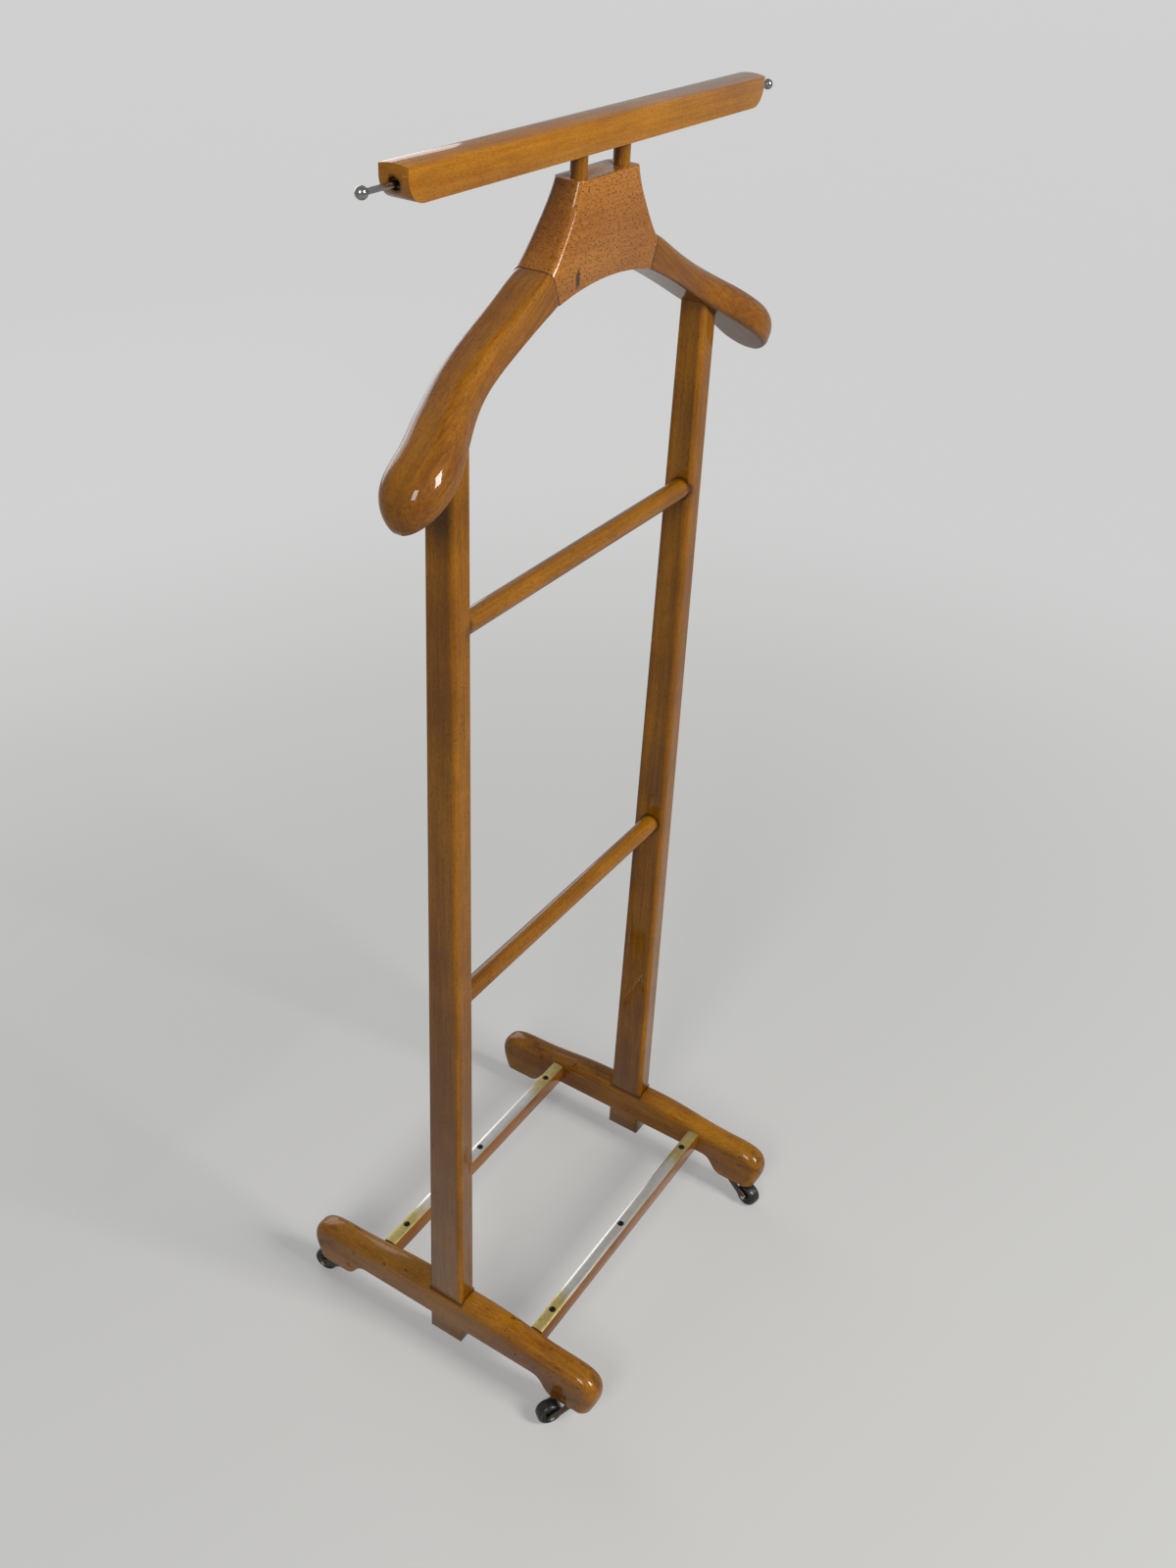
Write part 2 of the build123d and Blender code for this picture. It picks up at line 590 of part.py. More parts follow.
def castor_fork():
    """Bent strap: a plate under the socket and an arm on each side."""
    plate = Box(FORK_PLATE_LENGTH, 2 * FORK_OUTER, FORK_STRAP)
    fork = Pos(0, 0, PLATE_TOP_Z - FORK_STRAP / 2) * plate
    arm_face = Plane.XZ * fork_arm_outline()
    for y in (-FORK_INNER, FORK_OUTER):
        fork += Pos(0, y, 0) * extrude(arm_face, FORK_STRAP)
    fork -= Cylinder(STEM_DIAMETER / 2, PAD_Z * 2, align=UPWARD)
    return fork - rod_between(on_axle(-FORK_OUTER - 1), on_axle(FORK_OUTER + 1), AXLE_DIAMETER)


def on_axle(y):
    """A point of the axle's centre line."""
    return (CASTOR_TRAIL, y, AXLE_Z)


def castor_axle():
    """Riveted axle pin."""
    axle = rod_between(on_axle(-FORK_OUTER), on_axle(FORK_OUTER), AXLE_DIAMETER)
    head_end = FORK_OUTER + AXLE_HEAD_THICKNESS
    axle += rod_between(on_axle(FORK_OUTER), on_axle(head_end), AXLE_HEAD)
    axle += rod_between(on_axle(-FORK_OUTER), on_axle(-head_end), AXLE_HEAD)
    return axle


def castor_wheel():
    """Moulded wheel with rounded tread edges and a dished side."""
    radius = WHEEL_DIAMETER / 2
    width = WHEEL_WIDTH / 2
    bore = AXLE_DIAMETER / 2 + SLIDE_GAP
    rim_radius = radius - WHEEL_RIM
    hub = HUB_DIAMETER / 2
    dish = -width + WHEEL_RECESS
    half = Polyline(
        (bore, -width), (hub, -width), (hub, dish), (rim_radius, dish),
        (rim_radius, -width), (radius - WHEEL_TREAD_ROUND, -width),
    )
    lower = Spline((radius - WHEEL_TREAD_ROUND, -width), (radius, 0), tangents=((1, 0), (0, 1)))
    upper = mirror(lower, about=Plane.XZ)
    other = mirror(half, about=Plane.XZ)
    face = make_face([half, lower, upper, other, Line((bore, -width), (bore, width))])
    wheel = revolve(face, Axis.Y)
    return Pos(CASTOR_TRAIL, 0, AXLE_Z) * wheel


# ---- assembly --------------------------------------------------------------
block = hanger_block()
arm_blank = hanger_arm()
for start, end in arm_dowels():
    drill = rod_between(start, end, ARM_DOWEL_DIAMETER + 2 * GLUE_GAP)
    block -= drill
    block -= mirrored(drill, -1)
for start, end in peg_places().values():
    block -= rod_between(start, end, PEG_DIAMETER + 2 * GLUE_GAP)
save(block, "hanger_block")

dowels = []
for name, side in SIDES.items():
    arm = arm_blank
    for start, end in arm_dowels():
        arm -= rod_between(start, end, ARM_DOWEL_DIAMETER + 2 * GLUE_GAP)
        dowels.append(mirrored(rod_between(start, end, ARM_DOWEL_DIAMETER), side))
    arm -= stile_dowel(2 * GLUE_GAP)
    save(mirrored(arm, side), f"hanger_arm_{name}")
    save(stile(side, mirrored(arm_blank, side)), f"stile_{name}")
    save(foot(side), f"foot_{name}")
    save(rod(side), f"rod_{name}")
    save(mirrored(rod_ball(), side), f"rod_ball_{name}")
    save(rod_bush(side), f"rod_bush_{name}")
save(Compound(children=dowels), "hanger_dowels")
save(Compound(children=[mirrored(stile_dowel(), side) for side in SIDES.values()]), "stile_dowels")

for name, z in RUNG_HEIGHTS.items():
    save(rung(z), f"rung_{name}")
for name, end in ENDS.items():
    save(rail(end), f"rail_{name}")
    save(rail_cover(end), f"rail_cover_{name}")
    save(Compound(children=screw_bodies(end, with_slot=True)), f"rail_screws_{name}")

save(top_bar(), "top_bar")
for name, (start, end) in peg_places().items():
    save(rod_between(start, end, PEG_DIAMETER), f"peg_{name}")

for (side_name, end_name), angle in CASTOR_ANGLES.items():
    place = Pos(SIDES[side_name] * STILE_X, ENDS[end_name] * CASTOR_Y, 0) * Rot(0, 0, angle)
    tail = f"{side_name}_{end_name}"
    save(place * castor_socket(), f"castor_socket_{tail}")
    save(place * castor_stem(), f"castor_stem_{tail}")
    save(place * castor_fork(), f"castor_fork_{tail}")
    save(place * castor_axle(), f"castor_axle_{tail}")
    save(place * castor_wheel(), f"castor_wheel_{tail}")
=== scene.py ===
import json
import math

import bmesh
import bpy
from mathutils import Matrix, Vector

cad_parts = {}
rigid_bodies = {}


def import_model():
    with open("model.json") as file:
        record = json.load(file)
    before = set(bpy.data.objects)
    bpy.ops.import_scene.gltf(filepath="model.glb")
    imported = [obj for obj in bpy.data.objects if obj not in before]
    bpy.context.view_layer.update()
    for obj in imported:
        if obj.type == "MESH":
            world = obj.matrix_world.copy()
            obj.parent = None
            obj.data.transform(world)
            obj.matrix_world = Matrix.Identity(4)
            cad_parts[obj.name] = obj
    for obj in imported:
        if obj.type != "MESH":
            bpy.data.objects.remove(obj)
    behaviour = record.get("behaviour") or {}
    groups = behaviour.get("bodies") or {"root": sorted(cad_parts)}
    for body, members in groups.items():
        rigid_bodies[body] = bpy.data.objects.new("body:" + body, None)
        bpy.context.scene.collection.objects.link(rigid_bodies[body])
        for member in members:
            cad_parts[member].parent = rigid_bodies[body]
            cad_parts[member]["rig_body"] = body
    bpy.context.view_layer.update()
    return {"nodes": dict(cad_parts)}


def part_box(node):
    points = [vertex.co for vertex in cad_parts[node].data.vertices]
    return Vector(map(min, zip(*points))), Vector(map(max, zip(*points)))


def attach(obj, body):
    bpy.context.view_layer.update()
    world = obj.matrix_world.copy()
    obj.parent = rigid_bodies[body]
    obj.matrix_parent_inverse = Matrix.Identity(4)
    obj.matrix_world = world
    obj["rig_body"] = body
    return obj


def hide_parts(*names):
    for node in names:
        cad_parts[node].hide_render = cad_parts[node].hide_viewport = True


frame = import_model()

# ---- hanger block ----------------------------------------------------------
# The middle of the coat hanger: one piece of steamed beech, sawn to shape,
# its flared sides rounded by hand, stained amber and lacquered to a high gloss.
# A small dark knot sits low on its front face.


class Signal:
    """A value, colour or vector in a material. Arithmetic on it adds Math nodes."""

    def __init__(self, tree, socket):
        self.tree = tree
        self.socket = socket

    def node(self, kind, settings, inputs, output=0):
        """A node of any kind: settings first, then values or links for its sockets."""
        made = self.tree.nodes.new(kind)
        for name, value in settings.items():
            setattr(made, name, value)
        for name, value in inputs.items():
            if isinstance(value, Signal):
                self.tree.links.new(value.socket, made.inputs[name])
            else:
                made.inputs[name].default_value = value
        return Signal(self.tree, made.outputs[output])

    def math(self, operation, first, second=0.0):
        return self.node("ShaderNodeMath", {"operation": operation}, {0: first, 1: second})

    def __add__(self, other):
        return self.math("ADD", self, other)

    def __radd__(self, other):
        return self.math("ADD", other, self)

    def __sub__(self, other):
        return self.math("SUBTRACT", self, other)

    def __rsub__(self, other):
        return self.math("SUBTRACT", other, self)

    def __mul__(self, other):
        return self.math("MULTIPLY", self, other)

    def __truediv__(self, other):
        return self.math("DIVIDE", self, other)

    def __pow__(self, other):
        return self.math("POWER", self, other)

    def __abs__(self):
        return self.math("ABSOLUTE", self)

    def at_most(self, other):
        return self.math("MINIMUM", self, other)

    def at_least(self, other):
        return self.math("MAXIMUM", self, other)

    def step(self, low, high):
        """0 below low, 1 above high, smooth between; low may be the larger."""
        limits = {0: self, 1: low, 2: high, 3: 0.0, 4: 1.0}
        return self.node("ShaderNodeMapRange", {"interpolation_type": "SMOOTHSTEP"}, limits)

    def tint(self, first, second):
        """Colour that runs from first to second as this value runs from 0 to 1."""
        return self.node("ShaderNodeMix", {"data_type": "RGBA"}, {0: self, 6: first, 7: second}, 2)

    def part(self, axis):
        """One of the three numbers of a vector."""
        return self.node("ShaderNodeSeparateXYZ", {}, {0: self}, axis)

    def stretched(self, turn, scale, centre=(0, 0, 0)):
        """Coordinates turned, then scaled: large numbers make a fine pattern."""
        moved = self.node("ShaderNodeVectorMath", {"operation": "SUBTRACT"}, {0: self, 1: centre})
        point = {"vector_type": "POINT"}
        turned = self.node("ShaderNodeMapping", point, {"Vector": moved, "Rotation": turn})
        return self.node("ShaderNodeMapping", point, {"Vector": turned, "Scale": scale})

    def noise(self, scale, detail=2.0, roughness=0.5):
        """Soft noise on these coordinates."""
        inputs = {"Vector": self, "Scale": scale, "Detail": detail, "Roughness": roughness}
        return self.node("ShaderNodeTexNoise", {}, inputs)


def finish(name):
    """An empty material: the material, its shader and the piece's own coordinates."""
    material = bpy.data.materials.new(name)
    material.use_nodes = True
    tree = material.node_tree
    place = Signal(tree, tree.nodes.new("ShaderNodeTexCoord").outputs["Object"])
    return material, tree.nodes["Principled BSDF"], place


def feed(shader, place, **links):
    """Join signals to the shader's sockets; a bump height goes in through a Bump node."""
    names = {"colour": "Base Color", "roughness": "Roughness", "metallic": "Metallic",
             "coat": "Coat Weight", "glow": "Emission Color"}
    for name, signal in links.items():
        if name == "height":
            depth = {"Height": signal, "Distance": 0.0004, "Strength": 0.6}
            signal = place.node("ShaderNodeBump", {}, depth)
            place.tree.links.new(signal.socket, shader.inputs["Normal"])
        else:
            place.tree.links.new(signal.socket, shader.inputs[names[name]])


ALONG_X = (0, 0, 0)
ALONG_Y = (0, 0, math.radians(-90))
ALONG_Z = (0, math.radians(90), 0)


def lacquered_beech(name, turn, pale, deep, flecks=0.45, dark=None, wear=None):
    """Stained beech under gloss lacquer: growth bands, streaks, ray flecks and pores.

    turn brings the grain to X. dark is a function of the coordinates that gives
    where dirt, glue or a knot darkens the wood; wear is how far dents have spread.
    """
    material, shader, place = finish(name)
    bands = place.stretched(turn, (2.2, 28, 28)).noise(1.0, 3.0, 0.55)
    streaks = place.stretched(turn, (14, 420, 420)).noise(1.0, 5.0, 0.65)
    rays = place.stretched(turn, (330, 1300, 1300)).noise(1.0, 1.0, 0.5).step(0.555, 0.635)
    pores = place.stretched(turn, (700, 4200, 4200)).noise(1.0, 1.0, 0.5).step(0.56, 0.68)
    cloud = place.noise(16.0, 3.0, 0.6)
    tone = (bands * 0.55 + streaks * 0.45 + (cloud - 0.5) * 0.40).step(0.34, 0.66)
    colour = tone.tint(deep, pale)
    fleck_colour = tuple(c * 0.42 for c in deep[:3]) + (1,)
    colour = (rays * flecks + pores * flecks * 0.5).at_most(1.0).tint(colour, fleck_colour)
    height = streaks * 0.25 - rays * 0.3 - pores * 0.2
    coat = 0.85 - cloud.step(0.62, 0.80) * 0.12
    roughness = 0.34 + (1.0 - tone) * 0.10 + cloud * 0.06
    if wear is not None:
        dents = place.noise(115.0, 4.0, 0.75).step(0.66 - wear, 0.70 - wear)
        rubs = place.stretched(turn, (30, 160, 160)).noise(1.0, 4.0, 0.7).step(0.66 - wear, 0.76 - wear)
        colour = (rubs * 0.45).tint(colour, tuple(min(1.0, c * 1.7) for c in pale[:3]) + (1,))
        colour = (dents * 0.85).tint(colour, tuple(c * 0.16 for c in deep[:3]) + (1,))
        height = height - dents * 0.8 - rubs * 0.2
        coat = coat - dents * 0.7 - rubs * 0.35
        roughness = roughness + dents * 0.25
    if dark is not None:
        shade = dark(place)
        colour = (shade * 0.88).tint(colour, tuple(c * 0.10 for c in deep[:3]) + (1,))
        height = height - shade * 0.3
    feed(shader, place, colour=colour, roughness=roughness, coat=coat.at_least(0.05), height=height)
    shader.inputs["Coat Roughness"].default_value = 0.06
    shader.inputs["Coat IOR"].default_value = 1.38
    shader.inputs["Specular IOR Level"].default_value = 0.08
    return material


SAME_CORNER = 2e-6                 # corners nearer than this are one
FLAT = math.radians(0.5)           # faces nearer to flush than this are joined
CRISP = math.radians(40)           # arrises sharper than this are eased
SHADED_SHARP = math.radians(28)    # edges sharper than this stay sharp in shading


def dressed(node, material, round_over=0.0):
    """The node's own shape with its corners joined up, arrises eased and a finish on it."""
    mesh = bpy.data.meshes.new(node + "_finished")
    source = frame["nodes"][node].data
    corners = bmesh.new()
    corners.from_mesh(source)
    bmesh.ops.remove_doubles(corners, verts=corners.verts, dist=SAME_CORNER)
    if round_over:
        bmesh.ops.dissolve_limit(corners, angle_limit=FLAT, verts=corners.verts, edges=corners.edges)
        arrises = [e for e in corners.edges if e.is_manifold and e.calc_face_angle() > CRISP]
        bmesh.ops.bevel(
            corners, geom=arrises, offset=round_over, affect="EDGES", segments=2,
            profile=0.5, material=-1, clamp_overlap=True,
        )
        bmesh.ops.triangulate(corners, faces=[f for f in corners.faces if len(f.verts) > 4])
    corners.to_mesh(mesh)
    corners.free()
    for name in ("custom_normal", "sharp_face", "sharp_edge"):
        if name in mesh.attributes:
            mesh.attributes.remove(mesh.attributes[name])
    mesh.polygons.foreach_set("use_smooth", [True] * len(mesh.polygons))
    mesh.set_sharp_from_angle(angle=SHADED_SHARP)
    mesh.materials.clear()
    mesh.materials.append(material)
    piece = bpy.data.objects.new(node + "_finished", mesh)
    bpy.context.scene.collection.objects.link(piece)
    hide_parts(node)
    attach(piece, frame["nodes"][node]["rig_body"])
    return piece


block_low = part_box("hanger_block")[0]
arm_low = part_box("hanger_arm_right")[0]
GLUE_LEAN = math.radians(22.3)     # tilt of the joint between block and arm
GLUE_LINE = 0.00035                # half the width of the dark line along it
KNOT = (-0.0372, 0.9845)           # across and up, on the front face
KNOT_SIZE = (0.0026, 0.0060)
KNOT_DEPTH = 0.002                 # how far it runs in from the front face


def glue_joint(place):
    """How near a point is to the dark glue line between the block and an arm."""
    across = abs(place.part(0)) - arm_low.x
    up = place.part(2) - block_low.z
    away = abs(across * math.cos(GLUE_LEAN) - up * math.sin(GLUE_LEAN))
    return away.step(GLUE_LINE * 2.2, GLUE_LINE * 0.6) * 0.8


def knot_and_joint(place):
    """The knot on the block's front, with the glue lines at both sides."""
    ragged = (place.noise(900.0, 2.0) - 0.5) * 0.9
    across = (place.part(0) - KNOT[0]) / KNOT_SIZE[0]
    up = (place.part(2) - KNOT[1]) / KNOT_SIZE[1]
    reach = (across * across + up * up) ** 0.5 + ragged
    at_front = place.part(1).step(block_low.y + KNOT_DEPTH * 2, block_low.y + KNOT_DEPTH)
    knot = reach.step(1.25, 0.7) * at_front
    return knot.at_least(glue_joint(place))


BLOCK_PALE = (0.345, 0.132, 0.014, 1)
BLOCK_DEEP = (0.225, 0.071, 0.006, 1)
block_finish = lacquered_beech("block_lacquer", ALONG_X, BLOCK_PALE, BLOCK_DEEP, 1.0, knot_and_joint)
dressed("hanger_block", block_finish, 0.0004)

# ---- hanger arms -----------------------------------------------------------
# Two arms doweled and glued to the block, shaped to a broad rounded shoulder
# that carries a jacket, flat underneath; the same beech and the same lacquer.
ARM_PALE = (0.250, 0.092, 0.001, 1)
ARM_DEEP = (0.120, 0.035, 0.001, 1)
ARM_LEAN = math.radians(34)        # the grain follows the arm as it falls
for side, lean in (("left", ARM_LEAN), ("right", -ARM_LEAN)):
    arm_finish = lacquered_beech(
        f"arm_lacquer_{side}", (0, lean, 0), ARM_PALE, ARM_DEEP, 0.35, glue_joint
    )
    dressed(f"hanger_arm_{side}", arm_finish, 0.0004)

# ---- dowels ----------------------------------------------------------------
# Plain turned dowels hidden in the joints of hanger and stiles, bare beech.


def bare_beech(name, turn, pale, deep):
    """Unfinished wood: dull, with fine streaks and open pores."""
    material, shader, place = finish(name)
    streaks = place.stretched(turn, (20, 600, 600)).noise(1.0, 4.0, 0.6)
    pores = place.stretched(turn, (500, 3000, 3000)).noise(1.0, 1.0).step(0.6, 0.7)
    pore_colour = tuple(c * 0.5 for c in deep[:3]) + (1,)
    colour = (pores * 0.4).tint(streaks.step(0.3, 0.7).tint(deep, pale), pore_colour)
    feed(shader, place, colour=colour, roughness=0.62 + streaks * 0.15,
         height=streaks * 0.4 - pores * 0.5)
    return material


DOWEL_PALE = (0.66, 0.48, 0.30, 1)
DOWEL_DEEP = (0.50, 0.33, 0.18, 1)
hanger_dowel_wood = bare_beech("hanger_dowel_wood", ALONG_X, DOWEL_PALE, DOWEL_DEEP)
stile_dowel_wood = bare_beech("stile_dowel_wood", ALONG_Z, DOWEL_PALE, DOWEL_DEEP)
dressed("hanger_dowels", hanger_dowel_wood)
dressed("stile_dowels", stile_dowel_wood)

# ---- stiles ----------------------------------------------------------------
# Two tapered uprights of beech, front arrises rounded over, tenoned through
# the feet. Stain and glue have gathered dark round the rungs and at the foot.
foot_low, foot_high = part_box("foot_right")
rung_boxes = [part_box("rung_lower"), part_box("rung_upper")]
RUNG_RADIUS = (rung_boxes[0][1].z - rung_boxes[0][0].z) / 2
HALO = 0.0035                      # width of the dark ring round a rung
RING_IN = 0.012                    # the rings are on the stile's inner face only
SOILED = 0.012                     # height of the soiled lower end
COPE_FLAT = 0.0025                 # the foot's top is flat this far from its middle
COPE_FALL = 0.45                   # and falls this steeply beyond


def stile_dirt(place):
    """Dark rings round the rung ends, a dark line at the foot and a soiled lower end."""
    ragged = (place.noise(260.0, 3.0) - 0.5) * 0.004
    up = place.part(2)
    across = abs(abs(place.part(0)) - (foot_low.x + foot_high.x) / 2)
    shoulder = foot_high.z - (across - COPE_FLAT).at_least(0.0) * COPE_FALL
    dark = abs(up - shoulder + ragged * 0.3).step(0.0026, 0.0006)
    dark = dark.at_least(up.step(foot_low.z + SOILED, foot_low.z + SOILED - 0.008) * 0.6)
    for low, high in rung_boxes:
        rise = up - (low.z + high.z) / 2
        reach = (rise * rise + place.part(1) * place.part(1)) ** 0.5 - RUNG_RADIUS + ragged
        inside = abs(place.part(0)).step(foot_high.x - RING_IN, foot_high.x - RING_IN - 0.008)
        dark = dark.at_least(reach.step(HALO, 0.0004) * inside)
    return dark * 0.75


STILE_PALE = (0.265, 0.101, 0.001, 1)
STILE_DEEP = (0.145, 0.049, 0.0004, 1)
stile_finish = lacquered_beech("stile_lacquer", ALONG_Z, STILE_PALE, STILE_DEEP, 0.4, stile_dirt, -0.02)
for side in ("left", "right"):
    dressed(f"stile_{side}", stile_finish, 0.0004)

# ---- rungs -----------------------------------------------------------------
# Two round cross rungs, turned and glued into the stiles, for hanging clothes.
stile_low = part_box("stile_right")[0]
GLUE_REACH = 0.0035                # length of each darkened end


def rung_dirt(place):
    """The last millimetres of a rung are dark with glue and stain."""
    ragged = (place.noise(300.0, 3.0) - 0.5) * 0.003
    return (abs(place.part(0)) + ragged).step(stile_low.x - GLUE_REACH, stile_low.x - 0.0005) * 0.7


rung_finish = lacquered_beech("rung_lacquer", ALONG_X, STILE_PALE, STILE_DEEP, 0.4, rung_dirt)
for rung in ("lower", "upper"):
    dressed(f"rung_{rung}", rung_finish)

# ---- feet ------------------------------------------------------------------
# Two feet sawn in a low arch, their tops rolled over by hand; lacquer chipped
# and dented by shoes and by moving the stand about.
FOOT_PALE = (0.300, 0.122, 0.002, 1)
FOOT_DEEP = (0.160, 0.050, 0.002, 1)
STILE_BACK = 0.0007                # middle of the stile behind the foot's middle
STILE_HALF_DEPTH = 0.0178
STILE_HALF_WIDTH = 0.0105


def foot_dirt(place):
    """Dirt along the shoulder where the stile enters the foot."""
    across = abs(abs(place.part(0)) - (foot_low.x + foot_high.x) / 2)
    along = place.part(1)
    outside = (abs(along - STILE_BACK) - STILE_HALF_DEPTH).at_least(across - STILE_HALF_WIDTH)
    on_top = place.part(2).step(foot_high.z - 0.008, foot_high.z - 0.004)
    shoulder = outside.step(0.0022, 0.0003) * on_top * 0.8
    blots = place.stretched(ALONG_Y, (28, 70, 70)).noise(1.0, 5.0, 0.72)
    reach = abs(along) / foot_high.y
    soiled = (blots + reach * 0.22).step(0.70, 0.82) * 0.55
    return shoulder.at_least(soiled)


foot_finish = lacquered_beech("foot_lacquer", ALONG_Y, FOOT_PALE, FOOT_DEEP, 0.4, foot_dirt, 0.025)
for side in ("left", "right"):
    dressed(f"foot_{side}", foot_finish, 0.0005)

# ---- rails -----------------------------------------------------------------
# Two plain rails stub-tenoned between the feet; shoes rest across them.
RAIL_PALE = (0.27, 0.092, 0.006, 1)
RAIL_DEEP = (0.14, 0.040, 0.002, 1)
rail_finish = lacquered_beech("rail_lacquer", ALONG_X, RAIL_PALE, RAIL_DEEP, 0.4, None, 0.0)
for end in ("front", "rear"):
    dressed(f"rail_{end}", rail_finish, 0.0005)

# ---- rail covers -----------------------------------------------------------
# Crowned steel strips with a brass-coloured coating, screwed on the rails.
# Heels have worn the coating to bare brushed steel along the middle.
cover_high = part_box("rail_cover_front")[1]
COATING = (0.50, 0.40, 0.15, 1)
BARE_STEEL = (0.74, 0.73, 0.69, 1)
GRIME = (0.055, 0.045, 0.028, 1)


def strip_finish():
    """Worn coating over brushed steel, spotted dark near the ends."""
    material, shader, place = finish("cover_worn_coating")
    across = abs(place.part(0)) / cover_high.x
    patch = place.stretched(ALONG_X, (18, 260, 260)).noise(1.0, 4.0, 0.65)
    worn = (across + (patch - 0.5) * 0.28).step(0.76, 0.58)
    brush = place.stretched(ALONG_X, (25, 2600, 2600)).noise(1.0, 3.0, 0.6)
    mottle = place.noise(140.0, 4.0, 0.7)
    coated = mottle.step(0.35, 0.7).tint(tuple(c * 0.78 for c in COATING[:3]) + (1,), COATING)
    steel = (brush * 0.7 + mottle * 0.3).step(0.25, 0.75).tint(
        tuple(c * 0.66 for c in BARE_STEEL[:3]) + (1,), BARE_STEEL
    )
    spots = place.noise(330.0, 2.0, 0.6).step(0.64, 0.70) * (1.0 - worn * 0.75)
    colour = (spots * 0.8).tint(worn.tint(coated, steel), GRIME)
    roughness = 0.36 + (1.0 - worn) * 0.12 + (brush - 0.5) * 0.14 + spots * 0.2
    feed(shader, place, colour=colour, roughness=roughness, metallic=0.92 - spots * 0.5,
         height=brush * 0.12 - spots * 0.3)
    return material


cover_finish = strip_finish()
for end in ("front", "rear"):
    dressed(f"rail_cover_{end}", cover_finish, 0.00025)

# ---- cover screws ----------------------------------------------------------
# Blackened oval-head wood screws, slotted, three in each strip.


def dull_metal(name, colour, worn_colour, roughness, spread, grain=1200.0):
    """Metal with a treated skin that is rubbed bright in small patches."""
    material, shader, place = finish(name)
    mottle = place.noise(grain * 0.25, 4.0, 0.65)
    fine = place.noise(grain, 2.0, 0.5)
    rubbed = mottle.step(0.68 - spread, 0.80 - spread)
    tone = fine.step(0.2, 0.8).tint(tuple(c * 0.75 for c in colour[:3]) + (1,), colour)
    feed(shader, place, colour=rubbed.tint(tone, worn_colour),
         roughness=roughness + (fine - 0.5) * 0.16 - rubbed * 0.08, height=fine * 0.15 - rubbed * 0.1)
    shader.inputs["Metallic"].default_value = 1.0
    return material


BLACK_OXIDE = (0.035, 0.033, 0.032, 1)
OXIDE_WORN = (0.30, 0.28, 0.25, 1)
screw_finish = dull_metal("screw_black_oxide", BLACK_OXIDE, OXIDE_WORN, 0.36, 0.06)
for end in ("front", "rear"):
    dressed(f"rail_screws_{end}", screw_finish)

# ---- trouser bar -----------------------------------------------------------
# A flat-sided beech bar on two pegs, lower corners rounded, top slightly
# crowned; a blind bore in each end takes a steel rod.
rod_low, rod_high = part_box("rod_right")
ROD_UP = (rod_low.z + rod_high.z) / 2
ROD_BACK = (rod_low.y + rod_high.y) / 2
BORE_STAIN = (0.0062, 0.0038)      # radius where the stain ends and where it is full


def bore_dirt(place):
    """Stain gathered round the mouths of the rod bores."""
    up = place.part(2) - ROD_UP
    back = place.part(1) - ROD_BACK
    ragged = (place.noise(500.0, 3.0) - 0.5) * 0.003
    return ((up * up + back * back) ** 0.5 + ragged).step(*BORE_STAIN) * 0.9


BAR_PALE = (0.350, 0.136, 0.003, 1)
BAR_DEEP = (0.215, 0.073, 0.001, 1)
bar_finish = lacquered_beech("bar_lacquer", ALONG_X, BAR_PALE, BAR_DEEP, 0.35, bore_dirt, -0.03)
dressed("top_bar", bar_finish, 0.0005)

# ---- pegs ------------------------------------------------------------------
# Two short turned pegs that hold the bar up from the hanger block.
peg_finish = lacquered_beech("peg_lacquer", ALONG_Z, STILE_PALE, STILE_DEEP, 0.3)
for side in ("left", "right"):
    dressed(f"peg_{side}", peg_finish)

# ---- rods ------------------------------------------------------------------
# Bright drawn steel rods that pull out of the bar's ends, with a pressed-on
# ball; inside the bar a brass bush guides each rod and a collar stops it.


def bright_steel(name, turn, colour, roughness):
    """Drawn or turned steel: fine lines along it and a few dull spots."""
    material, shader, place = finish(name)
    lines = place.stretched(turn, (30, 3800, 3800)).noise(1.0, 3.0, 0.6)
    spots = place.noise(420.0, 3.0, 0.7).step(0.60, 0.76)
    tone = lines.step(0.2, 0.8).tint(tuple(c * 0.80 for c in colour[:3]) + (1,), colour)
    colour = (spots * 0.55).tint(tone, (0.16, 0.13, 0.10, 1))
    feed(shader, place, colour=colour, roughness=roughness + spots * 0.22 + (lines - 0.5) * 0.08,
         height=lines * 0.08 - spots * 0.08)
    shader.inputs["Metallic"].default_value = 1.0
    return material


rod_finish = bright_steel("rod_drawn_steel", ALONG_X, (0.40, 0.39, 0.375, 1), 0.20)
ball_finish = bright_steel("ball_turned_steel", ALONG_Y, (0.36, 0.355, 0.345, 1), 0.10)
bush_finish = bright_steel("bush_brass", ALONG_X, (0.62, 0.44, 0.17, 1), 0.30)
for side in ("left", "right"):
    dressed(f"rod_{side}", rod_finish)
    dressed(f"rod_ball_{side}", ball_finish)
    dressed(f"rod_bush_{side}", bush_finish)

# ---- castors ---------------------------------------------------------------
# Small plate-less furniture castors: a steel sleeve in the foot, a bent strap
# fork with a dark bronzed skin, a riveted axle and a moulded black wheel.


def moulded_black(name):
    """Glossy black plastic, scuffed and dusty where it has rolled."""
    material, shader, place = finish(name)
    scuffs = place.noise(520.0, 5.0, 0.75).step(0.52, 0.72)
    dust = place.noise(60.0, 4.0, 0.6).step(0.48, 0.75)
    near_floor = place.part(2).step(0.020, 0.000)
    film = (dust * 0.05 + scuffs * 0.05 + near_floor * 0.02).at_most(1.0)
    colour = film.tint((0.008, 0.008, 0.009, 1), (0.34, 0.32, 0.29, 1))
    feed(shader, place, colour=colour, roughness=0.17 + scuffs * 0.22 + dust * 0.12,
         height=scuffs * 0.25)
    return material


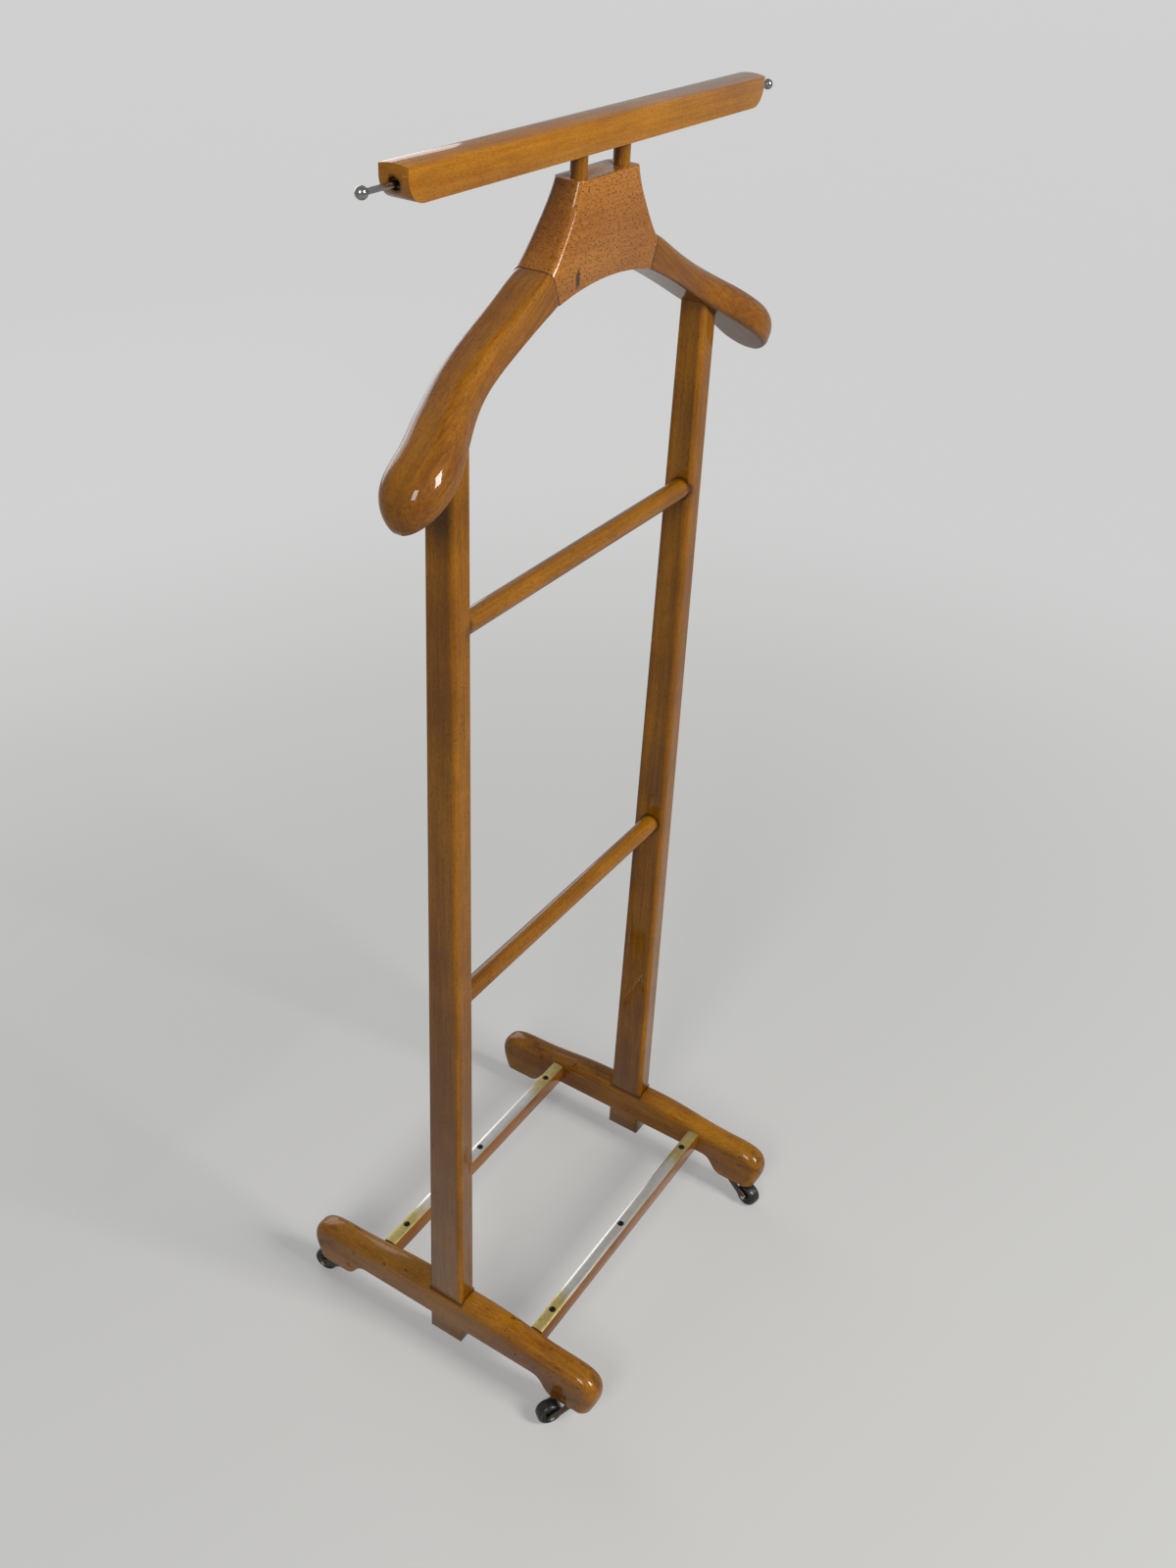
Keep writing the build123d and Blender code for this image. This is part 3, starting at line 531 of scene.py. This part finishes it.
wheel_finish = moulded_black("wheel_black_plastic")
BRONZED = (0.105, 0.085, 0.062, 1)
BRONZED_WORN = (0.34, 0.29, 0.22, 1)
ZINC = (0.36, 0.34, 0.31, 1)
ZINC_WORN = (0.56, 0.54, 0.50, 1)
RIVET = (0.50, 0.48, 0.44, 1)
RIVET_WORN = (0.66, 0.64, 0.60, 1)
fork_finish = dull_metal("fork_bronzed_steel", BRONZED, BRONZED_WORN, 0.33, 0.05)
socket_finish = dull_metal("socket_zinc", ZINC, ZINC_WORN, 0.38, 0.03)
axle_finish = dull_metal("axle_rivet_steel", RIVET, RIVET_WORN, 0.26, 0.02)
for side in ("left", "right"):
    for end in ("front", "rear"):
        corner = f"{side}_{end}"
        dressed(f"castor_socket_{corner}", socket_finish)
        dressed(f"castor_stem_{corner}", axle_finish)
        dressed(f"castor_fork_{corner}", fork_finish, 0.0002)
        dressed(f"castor_axle_{corner}", axle_finish, 0.0002)
        dressed(f"castor_wheel_{corner}", wheel_finish, 0.0002)

# ---- floor, light and camera -----------------------------------------------
# A plain pale floor and soft studio light: one large window-like panel high in
# front, weaker ones at the left and behind, and an even pale surround.
FLOOR_HALF = 14.0
FLOOR_LIT = (0.34, 0.33, 0.31, 1)    # what it throws back on the stand
FLOOR_SEEN = (0.30, 0.30, 0.296, 1)
FLOOR_GLOW = (0.22, 0.22, 0.216, 1)  # keeps it pale near the stand
FLOOR_FAINT = (0.02, 0.02, 0.02, 1)  # further out it takes no shadow
FLOOR_FAR = (0.60, 0.603, 0.597, 1)  # and blends with the surround
FADE = (0.35, 2.0)                   # from and to this far from the middle
SURROUND = (0.64, 0.645, 0.64, 1)
ROOM_LIGHT = (0.97, 0.97, 1.0, 1)    # what the surround sheds on the stand
ROOM_STRENGTH = 0.21


def seen_rays(tree, in_gloss):
    """1 for what the camera or glass looks at, in_gloss for what a shiny face mirrors."""
    path = tree.nodes.new("ShaderNodeLightPath")
    camera_ray = Signal(tree, path.outputs["Is Camera Ray"])
    mirrored = Signal(tree, path.outputs["Is Glossy Ray"]) * in_gloss
    return camera_ray.at_least(mirrored).at_least(Signal(tree, path.outputs["Is Transmission Ray"]))


bm = bmesh.new()
bmesh.ops.create_grid(bm, x_segments=2, y_segments=2, size=FLOOR_HALF)
floor_mesh = bpy.data.meshes.new("floor")
bm.to_mesh(floor_mesh)
bm.free()
floor = bpy.data.objects.new("floor", floor_mesh)
bpy.context.scene.collection.objects.link(floor)
floor_material, floor_shader, floor_place = finish("floor_plain")
looked_at = seen_rays(floor_material.node_tree, 0.5)
away = (floor_place.part(0) ** 2.0 + floor_place.part(1) ** 2.0) ** 0.5
far_off = away.step(*FADE)
floor_colour = looked_at.tint(FLOOR_LIT, far_off.tint(FLOOR_SEEN, FLOOR_FAINT))
floor_glow = looked_at.tint((0, 0, 0, 1), far_off.tint(FLOOR_GLOW, FLOOR_FAR))
feed(floor_shader, floor_place, colour=floor_colour, glow=floor_glow,
     roughness=0.55 + floor_place.noise(3.0) * 0.05)
floor_shader.inputs["Emission Strength"].default_value = 1.0
floor_shader.inputs["Specular IOR Level"].default_value = 0.05
floor_mesh.materials.append(floor_material)

world = bpy.data.worlds.new("studio")
world.use_nodes = True
bpy.context.scene.world = world
room = world.node_tree
room.nodes.clear()
seen = seen_rays(room, 0.4)
plain = seen.node("ShaderNodeBackground", {}, {"Color": SURROUND, "Strength": 1.0})
lit = seen.node("ShaderNodeBackground", {}, {"Color": ROOM_LIGHT, "Strength": ROOM_STRENGTH})
mixed = seen.node("ShaderNodeMixShader", {}, {0: seen, 1: lit, 2: plain})
room.links.new(mixed.socket, room.nodes.new("ShaderNodeOutputWorld").inputs["Surface"])


def panel(name, place, aim, width, height, power, colour):
    """A soft rectangular lamp at place, turned to aim."""
    lamp = bpy.data.lights.new(name, "AREA")
    lamp.shape = "RECTANGLE"
    lamp.size = width
    lamp.size_y = height
    lamp.energy = power
    lamp.color = colour
    holder = bpy.data.objects.new(name, lamp)
    bpy.context.scene.collection.objects.link(holder)
    way = Vector(aim) - Vector(place)
    holder.matrix_world = Matrix.Translation(place) @ way.to_track_quat("-Z", "Y").to_matrix().to_4x4()


panel("window", (0.1, -2.5, 2.3), (0, 0, 0.7), 0.8, 1.3, 105.0, (1.0, 0.985, 0.95))
panel("side_window", (-2.3, -0.5, 2.1), (0, 0, 0.8), 0.75, 1.0, 34.0, (1.0, 0.98, 0.96))
panel("fill", (1.2, 2.6, 1.5), (0, 0, 0.7), 2.2, 2.0, 28.0, (0.97, 0.98, 1.0))

EYE = Vector((-0.8777, -0.5421, 1.2653))
HEADING = math.radians(59.17)      # from +Y towards +X
TILT = math.radians(34.26)         # below the horizon
ROLL = math.radians(3.41)
camera_data = bpy.data.cameras.new("camera")
camera_data.sensor_width = 36.0
camera_data.lens = 34.54
camera = bpy.data.objects.new("camera", camera_data)
bpy.context.scene.collection.objects.link(camera)
facing = Matrix.Rotation(-HEADING, 4, "Z") @ Matrix.Rotation(math.pi / 2 - TILT, 4, "X")
camera.matrix_world = Matrix.Translation(EYE) @ facing @ Matrix.Rotation(ROLL, 4, "Z")
bpy.context.scene.camera = camera
bpy.context.scene.view_settings.view_transform = "Standard"
